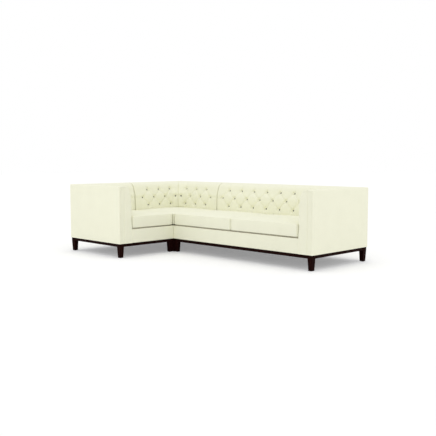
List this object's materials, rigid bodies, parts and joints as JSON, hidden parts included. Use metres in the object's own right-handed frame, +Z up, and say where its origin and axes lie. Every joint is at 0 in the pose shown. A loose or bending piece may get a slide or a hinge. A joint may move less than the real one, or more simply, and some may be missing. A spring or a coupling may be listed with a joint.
{
  "type": "corner sofa",
  "caption": "L-shaped corner sofa with level low back and arms in deep buttoned upholstery, loose seat cushions, dark plinth and short tapered legs, in sections that hook together",
  "frame": {"origin": "on the floor, under the middle of the outline's bounding box", "axes": "+X along the long wing from the corner to its arm end, +Y from the seats towards the long wing's back, +Z up; the corner is at -X, +Y"},
  "size_m": [2.994, 1.75, 0.79],
  "materials": {
    "upholstery": "matt woven upholstery cloth, cream",
    "espresso_wood": "satin espresso stain",
    "frame_timber": "unfinished sawn timber",
    "jute_webbing": "coarse woven webbing",
    "lining_cloth": "thin black lining cloth",
    "hook_steel": "zinc plated",
    "glide_plastic": "moulded black"
  },
  "bodies": {
    "corner_section": {"corner_seat_frame": "frame_timber", "corner_left_back_frame": "frame_timber", "corner_right_back_frame": "frame_timber", "corner_left_back_cover": "upholstery", "corner_left_back_pad": "upholstery", "corner_left_back_buttons": "upholstery", "corner_right_back_cover": "upholstery", "corner_right_back_pad": "upholstery", "corner_right_back_buttons": "upholstery", "corner_webbing": "jute_webbing", "corner_seat_deck": "upholstery", "corner_end_borders": "upholstery", "corner_dust_cover": "lining_cloth", "corner_plinth_rails": "espresso_wood", "corner_legs": "espresso_wood", "corner_leg_glides": "glide_plastic", "corner_leg_bolts": "hook_steel", "corner_hook_catches": "hook_steel"},
    "left_section": {"left_seat_frame": "frame_timber", "left_back_frame": "frame_timber", "left_arm_frame": "frame_timber", "left_back_cover": "upholstery", "left_back_pad": "upholstery", "left_back_buttons": "upholstery", "left_arm_cover": "upholstery", "left_arm_pad": "upholstery", "left_arm_buttons": "upholstery", "left_webbing": "jute_webbing", "left_seat_deck": "upholstery", "left_front_border": "upholstery", "left_end_border": "upholstery", "left_dust_cover": "lining_cloth", "left_plinth_rails": "espresso_wood", "left_legs": "espresso_wood", "left_leg_glides": "glide_plastic", "left_leg_bolts": "hook_steel", "left_hook_tongues": "hook_steel"},
    "right_section": {"right_seat_frame": "frame_timber", "right_back_frame": "frame_timber", "right_arm_frame": "frame_timber", "right_back_cover": "upholstery", "right_back_pad": "upholstery", "right_back_buttons": "upholstery", "right_arm_cover": "upholstery", "right_arm_pad": "upholstery", "right_arm_buttons": "upholstery", "right_webbing": "jute_webbing", "right_seat_deck": "upholstery", "right_front_border": "upholstery", "right_end_border": "upholstery", "right_dust_cover": "lining_cloth", "right_plinth_rails": "espresso_wood", "right_legs": "espresso_wood", "right_leg_glides": "glide_plastic", "right_leg_bolts": "hook_steel", "right_hook_tongues": "hook_steel"},
    "left_cushion": {"left_seat_cushion": "upholstery"},
    "corner_cushion": {"corner_seat_cushion": "upholstery"},
    "right_inner_cushion": {"right_inner_seat_cushion": "upholstery"},
    "right_outer_cushion": {"right_outer_seat_cushion": "upholstery"}
  },
  "joints": [
    {"name": "left_section_slide", "type": "slide", "parent": "corner_section", "child": "left_section", "axis": [0, -1, 0], "range_m": [0, 0.25]},
    {"name": "right_section_slide", "type": "slide", "parent": "corner_section", "child": "right_section", "axis": [1, 0, 0], "range_m": [0, 0.25]},
    {"name": "left_cushion_lift", "type": "slide", "parent": "left_section", "child": "left_cushion", "axis": [0, 0, 1], "range_m": [0, 0.3]},
    {"name": "corner_cushion_lift", "type": "slide", "parent": "corner_section", "child": "corner_cushion", "axis": [0, 0, 1], "range_m": [0, 0.3]},
    {"name": "right_inner_cushion_lift", "type": "slide", "parent": "right_section", "child": "right_inner_cushion", "axis": [0, 0, 1], "range_m": [0, 0.3]},
    {"name": "right_outer_cushion_lift", "type": "slide", "parent": "right_section", "child": "right_outer_cushion", "axis": [0, 0, 1], "range_m": [0, 0.3]}
  ]
}
